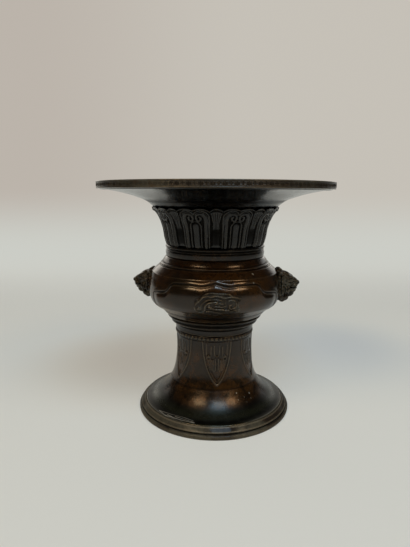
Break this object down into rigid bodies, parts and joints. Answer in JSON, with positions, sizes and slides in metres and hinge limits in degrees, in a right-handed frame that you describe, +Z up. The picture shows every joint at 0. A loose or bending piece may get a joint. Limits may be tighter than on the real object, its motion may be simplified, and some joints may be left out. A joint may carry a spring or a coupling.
{
  "type": "flower vase",
  "caption": "Bronze flower vase: a wide dish lifts out of a petal neck; a round belly with beast masks and medallions stands on a tall stem and round foot.",
  "frame": {"origin": "centre of the flat underside of the foot ring, on the surface the vase stands on", "axes": "+Z up along the turning axis, -Y towards the front medallion, +X towards the right mask"},
  "size_m": [0.2384, 0.2384, 0.24],
  "materials": {
    "dark_bronze": "dark brown-black patina, semi-gloss",
    "brown_bronze": "brown patina, waxed and glossy",
    "olive_bronze": "olive-brown patina, worn satin",
    "bare_bronze": "dull unpatinated casting bronze"
  },
  "bodies": {
    "vase": {"petal_collar": "dark_bronze", "neck_ring": "brown_bronze", "belly": "brown_bronze", "lower_ring": "brown_bronze", "stem_band": "dark_bronze", "stem_foot": "brown_bronze", "foot_ring": "olive_bronze", "base_plate": "bare_bronze", "mask_right": "olive_bronze", "mask_rivet_right_lower": "bare_bronze", "mask_rivet_right_upper": "bare_bronze", "mask_left": "olive_bronze", "mask_rivet_left_lower": "bare_bronze", "mask_rivet_left_upper": "bare_bronze", "medallion_front": "olive_bronze", "medallion_rivet_front_left": "bare_bronze", "medallion_rivet_front_right": "bare_bronze", "medallion_back": "olive_bronze", "medallion_rivet_back_left": "bare_bronze", "medallion_rivet_back_right": "bare_bronze", "neck_pin_right": "bare_bronze", "stem_pin_right": "bare_bronze", "neck_pin_left": "bare_bronze", "stem_pin_left": "bare_bronze"},
    "dish": {"dish": "dark_bronze"}
  },
  "joints": [
    {"name": "dish_lift", "type": "slide", "parent": "vase", "child": "dish", "axis": [0, 0, 1], "range_m": [0, 0.04]}
  ]
}
